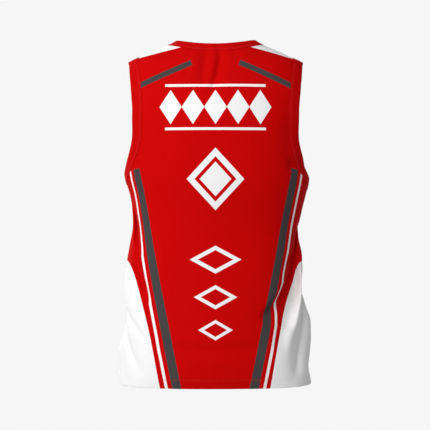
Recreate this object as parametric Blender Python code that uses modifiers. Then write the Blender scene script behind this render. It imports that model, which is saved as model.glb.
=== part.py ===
"""A sleeveless lacrosse pinnie, filled out as if worn, in nine sewn pieces.

The cloth lies on one smooth hollow body form. A place on that form is a pair
(turn, height): turn is the angle round the body from the middle of the back,
positive towards +X, and height is measured up from the neck point.
The wearer faces +Y, so the back of the garment faces -Y.
"""

import math
from collections import namedtuple

import bmesh
import bpy
import numpy as np

LEFT, RIGHT = -1, 1         # sides, by the sign of x
BACK, FRONT = -1, 1         # faces, by the sign of y
QUARTER = math.pi / 2

# Cloth, in metres
PANEL_WALL = 0.0014
BAND_WALL = 0.0020
SEAM_INSET = 0.00020        # each piece keeps this far inside its seam line

# The hollow form, one row a level: height, then half widths and half depths
Level = namedtuple("Level", "height left right back front")
LEVELS = (
    Level(-0.745, 0.2095, 0.2070, 0.1200, 0.1150),
    Level(-0.640, 0.2035, 0.1990, 0.1165, 0.1120),
    Level(-0.540, 0.1975, 0.1918, 0.1085, 0.1075),
    Level(-0.475, 0.1910, 0.1845, 0.1045, 0.1080),
    Level(-0.440, 0.1848, 0.1797, 0.1030, 0.1090),
    Level(-0.405, 0.1785, 0.1785, 0.1035, 0.1110),
    Level(-0.370, 0.1793, 0.1857, 0.1065, 0.1135),
    Level(-0.335, 0.1845, 0.1945, 0.1110, 0.1165),
    Level(-0.300, 0.1950, 0.2015, 0.1145, 0.1185),
    Level(-0.270, 0.1990, 0.2020, 0.1155, 0.1190),
    Level(-0.225, 0.2025, 0.2045, 0.1155, 0.1175),
    Level(-0.165, 0.2160, 0.2170, 0.1115, 0.1090),
    Level(-0.105, 0.2165, 0.2168, 0.0990, 0.0920),
    Level(-0.080, 0.2080, 0.2088, 0.0910, 0.0820),
    Level(-0.060, 0.1965, 0.1978, 0.0830, 0.0735),
    Level(-0.045, 0.1852, 0.1862, 0.0755, 0.0665),
    Level(-0.0365, 0.1650, 0.1655, 0.0705, 0.0620),
    Level(-0.020, 0.1250, 0.1255, 0.0595, 0.0520),
    Level(-0.010, 0.1008, 0.1015, 0.0525, 0.0455),
    Level(0.004, 0.0790, 0.0795, 0.0430, 0.0370),
)
SQUARENESS = 0.03           # how far a level's outline swells from an ellipse
WIDEST_HEIGHT = -0.140      # above this level the shoulders narrow
MEAN_RADIUS = 0.15          # of the body as a plain tube

# Cut lines
HEM_HEIGHT = -0.738
NECK_HALF_WIDTH = 0.0885
NECK_DROP = {BACK: 0.0130, FRONT: 0.088}
NECK_ROUNDNESS = {BACK: 1.8, FRONT: 1.3}
NECK_BAND = 0.020
ARMHOLE_TOP = -0.0450
ARMHOLE_BOTTOM = {LEFT: -0.2890, RIGHT: -0.2995}
ARMHOLE_REACH = {BACK: 0.076, FRONT: 0.079}     # from the shoulder line to the back or front
ARMHOLE_BAND = 0.024
INSERT_TOP = -0.475
INSERT_HALF_TURN = math.radians(59.5)           # half the hem of an insert, about the body
ARCH_POWER = 3.4                                # how steeply an insert's arch rises

# Marks along the cut lines
YOKE_AT_NECK = {BACK: 0.69, FRONT: 0.50}        # shares of a neck quarter
YOKE_AT_ARMHOLE = math.radians(24.0)            # angles round an armhole from its top
LOW_ARMHOLE = math.radians(143.0)
ARCH_CORNER = 0.50                              # a share of an arch from its top

# Facets along each stretch
NECK_TO_YOKE = 5
YOKE_TO_MIDDLE = {BACK: 6, FRONT: 7}
ARMHOLE_TO_YOKE = 5
YOKE_TO_LOW = 9
LOW_TO_UNDERARM = 4
YOKE_SEAM = 5
SIDE_SEAM = 7
ARCH_TO_CORNER = 4
CORNER_TO_HEM = 9
BAND_ROWS = 2

# How finely places are worked out
WALK_STEPS = 4
HALVINGS = 40
FINE_STEPS = 200
SMALL_STEP = 1e-5

# The largest folds: ends by turn in degrees and height, reach to each side, rise of the cloth
Fold = namedtuple("Fold", "turn_start height_start turn_end height_end reach rise")
FOLDS = (
    Fold(76, -0.420, 33, -0.580, 0.019, -0.0060),
    Fold(88, -0.455, 46, -0.590, 0.018, 0.0030),
    Fold(-62, -0.430, -43, -0.550, 0.018, -0.0035),
    Fold(75, -0.570, 48, -0.710, 0.018, -0.0035),
    Fold(-88, -0.602, -100, -0.596, 0.038, -0.0110),
    Fold(88, -0.534, 96, -0.540, 0.026, -0.0045),
    Fold(86, -0.634, 100, -0.640, 0.036, 0.0075),
)

RED = (0.60, 0.002, 0.002)
DEEP_RED = (0.56, 0.002, 0.002)
WHITE = (0.90, 0.90, 0.90)


def through_rows(column, height):
    """The value of one column of LEVELS at any height, on a smooth curve."""
    at = np.array([level.height for level in LEVELS])
    value = np.array([getattr(level, column) for level in LEVELS])
    slope = np.gradient(value, at)
    row = np.clip(np.searchsorted(at, height) - 1, 0, len(at) - 2)
    span = at[row + 1] - at[row]
    t = (height - at[row]) / span
    rising = t * t * (3 - 2 * t)
    leaving = t * (1 - t) ** 2 * span * slope[row]
    arriving = t * t * (t - 1) * span * slope[row + 1]
    return (1 - rising) * value[row] + rising * value[row + 1] + leaving + arriving


def form(place):
    """The bare form's points for an array of (turn, height) pairs."""
    turn, height = place[..., 0], place[..., 1]
    across = (np.sin(turn) + SQUARENESS * np.sin(3 * turn)) / (1 - SQUARENESS)
    behind = (np.cos(turn) - SQUARENESS * np.cos(3 * turn)) / (1 - SQUARENESS)
    half_width = np.where(across > 0, through_rows("right", height), through_rows("left", height))
    half_depth = np.where(behind > 0, through_rows("back", height), through_rows("front", height))
    return np.stack((half_width * across, -half_depth * behind, height), axis=-1)


def unit(vectors):
    return vectors / np.linalg.norm(vectors, axis=-1, keepdims=True)


def tangents(place):
    """How the form's points move as the turn grows and as the height grows."""
    moved = []
    for step in ((SMALL_STEP, 0), (0, SMALL_STEP)):
        moved.append((form(place + step) - form(place - step)) / (2 * SMALL_STEP))
    return moved


def outward(place):
    round_body, up_body = tangents(place)
    return unit(np.cross(round_body, up_body))


def fold_rise(points):
    """How far the folds lift the cloth off the form at each point."""
    rise = np.zeros(points.shape[:-1])
    for fold in FOLDS:
        start = form(np.array((math.radians(fold.turn_start), fold.height_start)))
        run = form(np.array((math.radians(fold.turn_end), fold.height_end))) - start
        along = np.clip(((points - start) @ run) / (run @ run), 0, 1)
        aside = np.linalg.norm(points - start - along[..., None] * run, axis=-1)
        rise += fold.rise * np.exp(-((aside / fold.reach) ** 2))
    return rise


def cloth(place):
    """The middle of the cloth: the form with the folds in it."""
    points = form(place)
    return points + outward(place) * fold_rise(points)[..., None]


def turn_where(axis, value, height, low, high):
    """The turns between low and high at which the form's outline has these x or y."""
    low = np.full(np.shape(height), float(low))
    high = np.full(np.shape(height), float(high))
    for _ in range(HALVINGS):
        middle = (low + high) / 2
        short = form(np.stack((middle, height), axis=-1))[..., axis] < value
        low = np.where(short, middle, low)
        high = np.where(short, high, middle)
    return low


def walk(place, heading, distance):
    """Moves each place a distance over the form, in the direction nearest heading."""
    round_body, up_body = tangents(place)
    a = np.sum(round_body * round_body, axis=-1)
    b = np.sum(round_body * up_body, axis=-1)
    c = np.sum(up_body * up_body, axis=-1)
    p = np.sum(round_body * heading, axis=-1)
    q = np.sum(up_body * heading, axis=-1)
    shift = np.stack((c * p - b * q, a * q - b * p), axis=-1)
    return place + shift * (distance / (a * c - b * b))[..., None]


def beside(loop, distance):
    """A closed loop of places, moved sideways over the form: out from a clockwise loop."""
    for _ in range(WALK_STEPS):
        points = form(loop)
        ahead = unit(np.roll(points, -1, axis=0) - np.roll(points, 1, axis=0))
        loop = walk(loop, np.cross(outward(loop), ahead), distance / WALK_STEPS)
    return loop


def fractions(lengths):
    """How far along a run each of its ends of steps is, from 0 to 1."""
    travelled = np.concatenate(((0,), np.cumsum(lengths)))
    return travelled / travelled[-1]


def step_lengths(places):
    return np.linalg.norm(np.diff(form(places), axis=0), axis=1)


def evenly(curve, start, end, steps):
    """Places on a curve, the same distance apart along the cloth."""
    fine = np.linspace(start, end, FINE_STEPS)
    travelled = fractions(step_lengths(curve(fine)))
    return curve(np.interp(np.linspace(0, 1, steps + 1), travelled, fine))


def straight(start, end, steps):
    return evenly(lambda share: start + (end - start) * share[:, None], 0, 1, steps)


def chain(*runs):
    """Joins runs of places, where each starts at the last one's end."""
    return np.concatenate([runs[0]] + [run[1:] for run in runs[1:]])


def neck_quarter(face):
    """The neck's cut edge on the right, from the shoulder to the middle."""
    def curve(share):
        angle = QUARTER * share ** 2
        height = -NECK_DROP[face] * np.sin(angle) ** NECK_ROUNDNESS[face]
        turn = turn_where(0, NECK_HALF_WIDTH * np.cos(angle), height, 0, QUARTER)
        return np.stack((turn if face == BACK else math.pi - turn, height), axis=-1)
    mark = YOKE_AT_NECK[face]
    return chain(evenly(curve, 0, mark, NECK_TO_YOKE), evenly(curve, mark, 1, YOKE_TO_MIDDLE[face]))


def neck_loop():
    """The neck's cut edge: right shoulder, back, left shoulder, front; clockwise from above."""
    back, front = neck_quarter(BACK), neck_quarter(FRONT)
    mirrored = (-1, 1)
    runs = (back[:-1], (back * mirrored)[:0:-1], (front * mirrored)[:-1], front[:0:-1])
    return np.concatenate(runs)


def neck_quarters(loop):
    """Cuts a neck loop into its quarters, each from the shoulder to the middle."""
    closed = np.concatenate((loop, loop[:1]))
    back = NECK_TO_YOKE + YOKE_TO_MIDDLE[BACK]
    front = NECK_TO_YOKE + YOKE_TO_MIDDLE[FRONT]
    return {
        (RIGHT, BACK): closed[:back + 1],
        (LEFT, BACK): closed[back:2 * back + 1][::-1],
        (LEFT, FRONT): closed[2 * back:2 * back + front + 1],
        (RIGHT, FRONT): closed[2 * back + front:][::-1],
    }


def armhole_half(side, face):
    """An armhole's cut edge, from the shoulder tip to the underarm."""
    half_height = (ARMHOLE_TOP - ARMHOLE_BOTTOM[side]) / 2

    def curve(angle):
        height = ARMHOLE_BOTTOM[side] + half_height * (1 + np.cos(angle))
        depth = face * ARMHOLE_REACH[face] * np.sin(angle)
        turn = turn_where(1, depth, height, 0, math.pi)
        return np.stack((side * turn, height), axis=-1)
    yoke = evenly(curve, 0, YOKE_AT_ARMHOLE, ARMHOLE_TO_YOKE)
    upright = evenly(curve, YOKE_AT_ARMHOLE, LOW_ARMHOLE, YOKE_TO_LOW)
    return chain(yoke, upright, evenly(curve, LOW_ARMHOLE, math.pi, LOW_TO_UNDERARM))


def armhole_loop(side):
    """An armhole's cut edge: shoulder tip, back, underarm, front."""
    return np.concatenate((armhole_half(side, BACK)[:-1], armhole_half(side, FRONT)[:0:-1]))


def armhole_halves(side, loop):
    """Cuts an armhole loop in two, each half from the shoulder tip to the underarm."""
    closed = np.concatenate((loop, loop[:1]))
    underarm = ARMHOLE_TO_YOKE + YOKE_TO_LOW + LOW_TO_UNDERARM
    return {(side, BACK): closed[:underarm + 1], (side, FRONT): closed[underarm:][::-1]}


def insert_seam(side, face, start, end, steps):
    """The arch round a side insert, where share 0 is its top and 1 the hem."""
    def curve(share):
        turn = side * (QUARTER + face * INSERT_HALF_TURN * share)
        height = INSERT_TOP - (INSERT_TOP - HEM_HEIGHT) * share ** ARCH_POWER
        return np.stack((turn, height), axis=-1)
    return evenly(curve, start, end, steps)


def strides(edge):
    """How far along an edge each of its places is, taking the form as a plain tube."""
    return fractions(np.hypot(MEAN_RADIUS * np.diff(edge[:, 0]), np.diff(edge[:, 1])))


def fill(bottom, right, top, left):
    """A net of places between four edges that share their corners, as a Coons patch."""
    u = ((strides(bottom) + strides(top)) / 2)[None, :, None]
    v = ((strides(left) + strides(right)) / 2)[:, None, None]
    across = (1 - v) * bottom[None] + v * top[None]
    up = (1 - u) * left[:, None] + u * right[:, None]
    low = (1 - u) * bottom[0] + u * bottom[-1]
    high = (1 - u) * top[0] + u * top[-1]
    return across + up - (1 - v) * low - v * high


def narrowing(height):
    """How much of its greatest width the form has left, above its widest level."""
    greatest = through_rows("right", WIDEST_HEIGHT)
    return np.where(height > WIDEST_HEIGHT, through_rows("right", height) / greatest, 1)


def spread(places):
    """Places with turns swapped for ones that stay put up the narrowing shoulders."""
    turn = np.arcsin(np.sin(places[..., 0]) * narrowing(places[..., 1]))
    return np.stack((turn, places[..., 1]), axis=-1)


def gathered(net, face):
    """Undoes spread for a net on the back or the front."""
    turn = np.arcsin(np.clip(np.sin(net[..., 0]) / narrowing(net[..., 1]), -1, 1))
    return np.stack((turn if face == BACK else math.pi - turn, net[..., 1]), axis=-1)


def draw_in(bm, distance):
    """Moves a sheet's open edge inwards along its own surface."""
    moves = {}
    for edge in bm.edges:
        if edge.is_boundary:
            face = edge.link_faces[0]
            first, second = edge.verts
            inward = face.normal.cross(second.co - first.co).normalized()
            if inward.dot(face.calc_center_median() - first.co) < 0:
                inward.negate()
            for vert in edge.verts:
                moves.setdefault(vert, []).append(inward)
    for vert, (one, other) in moves.items():
        vert.co += (one + other) * distance / (1 + one.dot(other))


def facing_out(net):
    """The net with its columns in the order that turns its faces away from the body."""
    row, column = net.shape[0] // 2, net.shape[1] // 2
    corner, beside_it, above_it = form(net[[row, row, row + 1], [column, column + 1, column]])
    normal = np.cross(beside_it - corner, above_it - corner)
    return net if normal @ outward(net[row, column]) > 0 else net[:, ::-1]


def lay(bm, net):
    """Adds a sheet of faces through a net of places."""
    points = cloth(facing_out(net))
    rows, columns = points.shape[0] - 1, points.shape[1] - 1
    made = bmesh.ops.create_grid(bm, x_segments=columns, y_segments=rows, size=1)
    for vert in made["verts"]:
        column = round((vert.co.x + 1) / 2 * columns)
        row = round((vert.co.y + 1) / 2 * rows)
        vert.co = points[row, column]


def material(name, colour):
    made = bpy.data.materials.new(name)
    made.use_nodes = True
    shader = made.node_tree.nodes["Principled BSDF"]
    shader.inputs["Base Color"].default_value = (*colour, 1)
    shader.inputs["Roughness"].default_value = 0.8
    shader.inputs["Metallic"].default_value = 0
    return made


def piece(name, nets, wall, colour):
    """One cut piece: sheets that meet edge to edge, sewn into one and given their thickness."""
    bm = bmesh.new()
    for net in nets:
        lay(bm, net)
    bmesh.ops.remove_doubles(bm, verts=bm.verts, dist=SMALL_STEP)
    bm.normal_update()
    draw_in(bm, SEAM_INSET)
    mesh = bpy.data.meshes.new(name)
    bm.to_mesh(mesh)
    bm.free()
    mesh.shade_smooth()
    mesh.materials.append(material(name, colour))
    made = bpy.data.objects.new(name, mesh)
    shell = made.modifiers.new("Wall", "SOLIDIFY")
    shell.thickness = wall
    shell.offset = 0
    shell.use_even_offset = True
    return made


def band(name, cut_edge, width):
    """The rib round an opening, from its cut edge to its seam."""
    loops = [beside(cut_edge, width * row / BAND_ROWS) for row in range(BAND_ROWS + 1)]
    net = np.stack([np.concatenate((loop, loop[:1])) for loop in loops])
    return piece(name, [net], BAND_WALL, DEEP_RED)


def side_insert(side):
    """The pale arch at one side, from the hem up."""
    seams = {}
    arches = {}
    for face in (BACK, FRONT):
        seams[face] = insert_seam(side, face, 1, ARCH_CORNER, CORNER_TO_HEM)
        arches[face] = insert_seam(side, face, ARCH_CORNER, 0, ARCH_TO_CORNER)
    top = chain(arches[BACK], arches[FRONT][::-1])
    hem = straight(seams[BACK][0], seams[FRONT][0], len(top) - 1)
    return fill(hem, seams[FRONT], top, seams[BACK])


def shoulder_yoke(side, neck, arm):
    """The pale saddle over one shoulder, between the neck band and the armhole band."""
    at_neck = chain(neck[side, BACK][NECK_TO_YOKE::-1], neck[side, FRONT][:NECK_TO_YOKE + 1])
    at_arm = chain(arm[side, BACK][ARMHOLE_TO_YOKE::-1], arm[side, FRONT][:ARMHOLE_TO_YOKE + 1])
    back = straight(at_neck[0], at_arm[0], YOKE_SEAM)
    front = straight(at_neck[-1], at_arm[-1], YOKE_SEAM)
    return fill(at_neck, front, at_arm, back)


def panel(face, neck, arm):
    """The back or front as three sheets, split level with the arches and the low armholes."""
    low = ARMHOLE_TO_YOKE + YOKE_TO_LOW
    flank, arch, waist, underarm, chest, top = ({} for _ in range(6))
    for side in (LEFT, RIGHT):
        armhole = arm[side, face]
        neckline = neck[side, face][NECK_TO_YOKE:]
        yoke_seam = straight(neckline[0], armhole[ARMHOLE_TO_YOKE], YOKE_SEAM)[::-1]
        flank[side] = spread(insert_seam(side, face, 1, ARCH_CORNER, CORNER_TO_HEM))
        arch[side] = spread(insert_seam(side, face, ARCH_CORNER, 0, ARCH_TO_CORNER))
        underarm[side] = spread(armhole[:low - 1:-1])
        waist[side] = np.linspace(arch[side][-1], underarm[side][0], SIDE_SEAM + 1)
        chest[side] = spread(armhole[low:ARMHOLE_TO_YOKE - 1:-1])
        top[side] = spread(chain(yoke_seam, neckline))
    top = chain(top[LEFT], top[RIGHT][::-1])
    hem = np.linspace(flank[LEFT][0], flank[RIGHT][0], len(top))
    at_arches = np.linspace(flank[LEFT][-1], flank[RIGHT][-1], len(top))
    at_armholes = np.linspace(chest[LEFT][0], chest[RIGHT][0], len(top))
    over_arches = chain(arch[LEFT][::-1], at_arches, arch[RIGHT])
    under_arms = chain(underarm[LEFT], at_armholes, underarm[RIGHT][::-1])
    nets = (
        fill(hem, flank[RIGHT], at_arches, flank[LEFT]),
        fill(over_arches, waist[RIGHT], under_arms, waist[LEFT]),
        fill(at_armholes, chest[RIGHT], top, chest[LEFT]),
    )
    return [gathered(net, face) for net in nets]


def build():
    neck_edge = neck_loop()
    neck = neck_quarters(beside(neck_edge, NECK_BAND))
    pieces = [band("neck_band", neck_edge, NECK_BAND)]
    arm = {}
    for side, word in ((LEFT, "left"), (RIGHT, "right")):
        arm_edge = armhole_loop(side)
        arm.update(armhole_halves(side, beside(arm_edge, -side * ARMHOLE_BAND)))
        pieces.append(band("armhole_band_" + word, arm_edge, -side * ARMHOLE_BAND))
        pieces.append(piece("side_insert_" + word, [side_insert(side)], PANEL_WALL, WHITE))
        yoke = shoulder_yoke(side, neck, arm)
        pieces.append(piece("shoulder_yoke_" + word, [yoke], PANEL_WALL, WHITE))
    pieces.append(piece("back_panel", panel(BACK, neck, arm), PANEL_WALL, RED))
    pieces.append(piece("front_panel", panel(FRONT, neck, arm), PANEL_WALL, RED))
    collection = bpy.data.collections.new("lacrosse_pinnie")
    bpy.context.scene.collection.children.link(collection)
    for made in pieces:
        collection.objects.link(made)


for old in list(bpy.data.objects):
    bpy.data.objects.remove(old, do_unlink=True)
build()
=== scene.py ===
"""The looks of the lacrosse pinnie: knit cloth, bindings, stitching and print.

The cloth lies on the same hollow body form as the solids. A place on that form is a pair
(turn, height): turn is the angle round the body from the middle of the back, positive towards
+X, and height is measured up from the neck point. The wearer faces +Y, so the back faces -Y
and the wearer's right is at +X. Left and right are the wearer's. All lengths are in metres.
"""

import math
from collections import namedtuple
from functools import partialmethod, reduce

import bpy
import numpy as np
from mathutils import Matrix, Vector, kdtree, noise


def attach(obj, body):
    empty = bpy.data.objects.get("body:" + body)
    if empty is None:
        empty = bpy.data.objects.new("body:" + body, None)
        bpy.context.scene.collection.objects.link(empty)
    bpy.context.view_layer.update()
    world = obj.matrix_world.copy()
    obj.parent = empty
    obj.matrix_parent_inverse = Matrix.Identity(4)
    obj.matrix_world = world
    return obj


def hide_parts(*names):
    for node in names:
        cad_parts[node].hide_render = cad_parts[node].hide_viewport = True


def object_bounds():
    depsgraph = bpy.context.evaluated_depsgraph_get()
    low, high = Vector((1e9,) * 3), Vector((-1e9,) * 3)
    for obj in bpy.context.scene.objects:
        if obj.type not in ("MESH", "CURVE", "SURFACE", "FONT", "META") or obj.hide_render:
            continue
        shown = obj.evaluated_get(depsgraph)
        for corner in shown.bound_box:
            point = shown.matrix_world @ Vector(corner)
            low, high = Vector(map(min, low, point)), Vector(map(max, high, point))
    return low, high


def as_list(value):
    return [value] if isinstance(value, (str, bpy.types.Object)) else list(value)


LEFT, RIGHT = -1, 1         # sides, by the sign of x
BACK, FRONT = -1, 1         # faces, by the sign of y
QUARTER = math.pi / 2
SIDES = ((LEFT, "left"), (RIGHT, "right"))
FACES = ((BACK, "back"), (FRONT, "front"))

# Cloth
PANEL_WALL = 0.0010
FOLD_RADIUS = 0.00056       # of cloth folded back on itself
BAND_CROWN = 0.00025        # how much a binding swells between its edges

# The hollow form, one row a level: height, then half widths and half depths
Level = namedtuple("Level", "height left right back front")
LEVELS = [Level(*row) for row in (
    (-0.745, 0.2095, 0.2070, 0.1200, 0.1150),
    (-0.640, 0.2035, 0.1990, 0.1165, 0.1120),
    (-0.540, 0.1975, 0.1918, 0.1085, 0.1075),
    (-0.475, 0.1910, 0.1845, 0.1045, 0.1080),
    (-0.440, 0.1848, 0.1797, 0.1030, 0.1090),
    (-0.405, 0.1785, 0.1785, 0.1035, 0.1110),
    (-0.370, 0.1793, 0.1857, 0.1065, 0.1135),
    (-0.335, 0.1845, 0.1945, 0.1110, 0.1165),
    (-0.300, 0.1950, 0.2015, 0.1145, 0.1185),
    (-0.270, 0.1990, 0.2020, 0.1155, 0.1190),
    (-0.225, 0.2025, 0.2045, 0.1155, 0.1175),
    (-0.165, 0.2160, 0.2170, 0.1115, 0.1090),
    (-0.105, 0.2165, 0.2168, 0.0990, 0.0920),
    (-0.080, 0.2080, 0.2088, 0.0910, 0.0820),
    (-0.060, 0.1965, 0.1978, 0.0830, 0.0735),
    (-0.045, 0.1852, 0.1862, 0.0755, 0.0665),
    (-0.0365, 0.1650, 0.1655, 0.0705, 0.0620),
    (-0.020, 0.1250, 0.1255, 0.0595, 0.0520),
    (-0.010, 0.1008, 0.1015, 0.0525, 0.0455),
    (0.004, 0.0790, 0.0795, 0.0430, 0.0370),
)]
SQUARENESS = 0.03           # how far a level's outline swells from an ellipse
WIDEST_HEIGHT = -0.140      # above this level the shoulders narrow
MEAN_RADIUS = 0.15          # of the body as a plain tube

# Cut lines
HEM_HEIGHT = -0.738
NECK_HALF_WIDTH = 0.0885
NECK_DROP = {BACK: 0.0130, FRONT: 0.088}
NECK_ROUNDNESS = {BACK: 1.8, FRONT: 1.3}
NECK_BAND = 0.020
ARMHOLE_TOP = -0.0450
ARMHOLE_BOTTOM = {LEFT: -0.2890, RIGHT: -0.2995}
ARMHOLE_REACH = {BACK: 0.076, FRONT: 0.079}     # from the shoulder line to the back or front
ARMHOLE_BAND = 0.024
INSERT_TOP = -0.475
INSERT_HALF_TURN = math.radians(59.5)           # half the hem of an insert, about the body
ARCH_POWER = 3.4                                # how steeply an insert's arch rises
HEM_TURN_UP = 0.021

# Rows of points over the turn-up of a hem, a fold and each side of a binding
HEM_ROWS = 6
FOLD_ROWS = 6
BAND_ROWS = 7
HEM_LAST_ROW = 0.0015       # from the fold to the lowest row of the turn-up

# Marks along the cut lines
YOKE_AT_NECK = {BACK: 0.69, FRONT: 0.50}        # shares of a neck quarter
YOKE_AT_ARMHOLE = math.radians(24.0)            # angles round an armhole from its top
LOW_ARMHOLE = math.radians(143.0)
ARCH_CORNER = 0.50                              # a share of an arch from its top

# Facets along each stretch
FINENESS = 8
NECK_TO_YOKE = 3 * FINENESS
YOKE_TO_MIDDLE = {BACK: 6 * FINENESS, FRONT: 7 * FINENESS}
ARMHOLE_TO_YOKE = 3 * FINENESS
YOKE_TO_LOW = 9 * FINENESS
LOW_TO_UNDERARM = 4 * FINENESS
YOKE_SEAM = 5 * FINENESS
SIDE_SEAM = 7 * FINENESS
ARCH_TO_CORNER = 4 * FINENESS
CORNER_TO_HEM = 9 * FINENESS

# How finely places are worked out
WALK_STEPS = 4
HALVINGS = 40
FINE_STEPS = 400
ARC_STEPS = 24
CREASE_POINTS = 17
SMALL_STEP = 1e-5           # in turn or height, to find a slope
SMALLEST_RUN = 1e-6         # a shorter one counts as this long
SAME_PLACE = 8              # decimals to which two places must agree to be one

# Broad swells and dents that shape the outline: ends by turn in degrees and height, reach to each
# side, rise
Fold = namedtuple("Fold", "turn_start height_start turn_end height_end reach rise")
FOLDS = (
    Fold(-88, -0.602, -100, -0.596, 0.036, -0.011),
    Fold(-88, -0.668, -100, -0.668, 0.026, 0.005),
    Fold(88, -0.528, 96, -0.534, 0.028, -0.0085),
    Fold(86, -0.634, 100, -0.64, 0.036, 0.0075),
    Fold(84, -0.706, 98, -0.706, 0.022, -0.004),
    Fold(84, -0.6, 98, -0.604, 0.02, 0.005),
    Fold(50, -0.272, 84, -0.276, 0.013, -0.0045),
    Fold(80, -0.19, 90, -0.2, 0.04, 0.0028),
    Fold(80, -0.041, 100, -0.041, 0.01, -0.009),
    Fold(-80, -0.041, -100, -0.041, 0.01, -0.0095),
)

# Creases: start, bend and end by turn in degrees and height, then how far each reaches to the
# left and to the right of its own direction as seen from outside, and its rise
Crease = namedtuple(
    "Crease", "turn height bend_turn bend_height end_turn end_height left right rise")
CREASES = [Crease(*row) for row in (
    # back, the drag line under the right waist, the hollow below it and the ridge outside it
    (90, -0.396, 58, -0.482, 49, -0.522, 0.009, 0.02, -0.0125),
    (72, -0.466, 60, -0.546, 44, -0.616, 0.019, 0.034, -0.0185),
    (61.5, -0.476, 44, -0.549, 25.5, -0.594, 0.024, 0.0075, -0.0175),
    (50, -0.56, 42, -0.61, 37, -0.668, 0.018, 0.018, -0.0055),
    (96, -0.43, 76, -0.482, 56, -0.53, 0.012, 0.006, 0.004),
    # back, over the right insert: a fold that stands in front of the cloth behind it
    (87, -0.478, 64, -0.556, 46, -0.664, 0.0058, 0.019, 0.008),
    (80, -0.52, 61, -0.63, 52, -0.715, 0.018, 0.007, -0.0085),
    (58, -0.61, 51, -0.665, 52, -0.725, 0.014, 0.012, -0.006),
    # back, left of the waist and over the left insert
    (-86, -0.345, -75, -0.405, -54, -0.465, 0.018, 0.006, -0.011),
    (-60, -0.45, -48, -0.512, -40, -0.562, 0.006, 0.01, -0.01),
    (-70, -0.575, -56, -0.606, -42, -0.64, 0.007, 0.01, -0.006),
    (-78, -0.59, -62, -0.65, -44, -0.712, 0.008, 0.01, -0.0075),
    # back, under the neck band
    (3.2, -0.014, 3.0, -0.07, -3.5, -0.13, 0.013, 0.0085, -0.0065),
    (-7.0, -0.014, -4.8, -0.055, -7.0, -0.115, 0.012, 0.0125, -0.005),
    (-18.5, -0.02, -15.5, -0.055, -15.0, -0.09, 0.008, 0.008, -0.0012),
    (14.0, -0.018, 13.0, -0.05, 11.0, -0.08, 0.008, 0.008, -0.0012),
    # back, low down and at the hem
    (-30, -0.652, 0, -0.664, 32, -0.65, 0.012, 0.016, -0.0028),
    (-52, -0.746, 0, -0.752, 52, -0.746, 0.024, 0.024, -0.0085),
    # back, beside the right shoulder blade
    (44, -0.12, 42, -0.19, 48, -0.27, 0.026, 0.02, -0.0026),
    # front, from the underarms over the chest
    (110, -0.29, 128, -0.3, 152, -0.35, 0.01, 0.022, -0.006),
    (104, -0.335, 124, -0.365, 147, -0.425, 0.012, 0.018, -0.0048),
    (-108, -0.3, -126, -0.316, -150, -0.372, 0.02, 0.01, -0.0058),
    (-102, -0.352, -118, -0.396, -136, -0.458, 0.018, 0.01, -0.005),
    # front, under the neck band
    (176, -0.1, 178, -0.15, 182, -0.212, 0.007, 0.009, -0.0034),
    (189, -0.098, 190, -0.14, 192, -0.186, 0.008, 0.008, -0.0026),
    (164, -0.092, 165, -0.13, 167, -0.17, 0.007, 0.008, -0.0018),
    # front, the drag line under the right waist, the hollow below it and the insert's ridge
    (90, -0.376, 116, -0.456, 131, -0.504, 0.02, 0.009, -0.009),
    (114, -0.47, 125, -0.556, 141, -0.652, 0.032, 0.02, -0.012),
    (116, -0.478, 136, -0.562, 163, -0.584, 0.005, 0.016, -0.009),
    (105, -0.45, 117, -0.566, 134, -0.676, 0.012, 0.007, 0.009),
    (100, -0.54, 118, -0.64, 127, -0.722, 0.008, 0.016, -0.007),
    # front, left of the waist and over the left insert
    (-93, -0.368, -112, -0.436, -139, -0.5, 0.009, 0.015, -0.008),
    (-117, -0.448, -131, -0.522, -143, -0.59, 0.01, 0.006, -0.0085),
    (-106, -0.566, -121, -0.608, -139, -0.646, 0.01, 0.007, -0.006),
    (-100, -0.604, -116, -0.664, -133, -0.724, 0.01, 0.008, -0.008),
    # front, low down and at the hem
    (150, -0.64, 178, -0.656, 204, -0.644, 0.016, 0.012, -0.0036),
    (128, -0.746, 180, -0.752, 232, -0.746, 0.026, 0.026, -0.0075),
)]

# Creases push the cloth along its outward direction with these shares of it kept, so that they
# go mostly in and out of the back and the front, and little sideways
CREASE_PUSH = np.array((0.07, 1.0, 0.07))
CREASE_FADE = 0.7           # the power by which a crease dies away towards its ends
CREASE_MARGIN = 3           # how many of its reaches away a crease is still worked out

# Where the cloth is drawn round the body: the middle by turn in degrees and height, how far it
# reaches and by how many degrees it moves
Pull = namedtuple("Pull", "turn height reach round_by")
PULLS = (
    Pull(61, -0.505, 0.048, 5.2),
    Pull(119, -0.500, 0.044, -2.6),
)

# Unevenness of the whole cloth: wave lengths and rises
DRAPE_WAVE = 0.110
DRAPE_RISE = 0.0016
RIPPLE_WAVE = 0.034
RIPPLE_RISE = 0.00022

# Seams: the cloth rolls up beside a seam line and dips into it
SEAM_ROLL = 0.00034
SEAM_REACH = 0.0030

# Stitching
STITCH_LENGTH = 0.0027
STITCH_PITCH = 0.0035
STITCH_RADIUS = 0.00026
STITCH_SIDES = 6
# Rings along a stitch: where, in half lengths from its middle, and how thick, in radii
STITCH_RINGS = (
    (-1.0, 0.12), (-0.82, 0.75), (-0.35, 1.0), (0.35, 1.0), (0.82, 0.75), (1.0, 0.12))
TWIN_GAP = 0.0032
EDGE_STITCH = 0.0018        # from a seam line to the nearest row
HEM_STITCH_STEPS = 160

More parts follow.
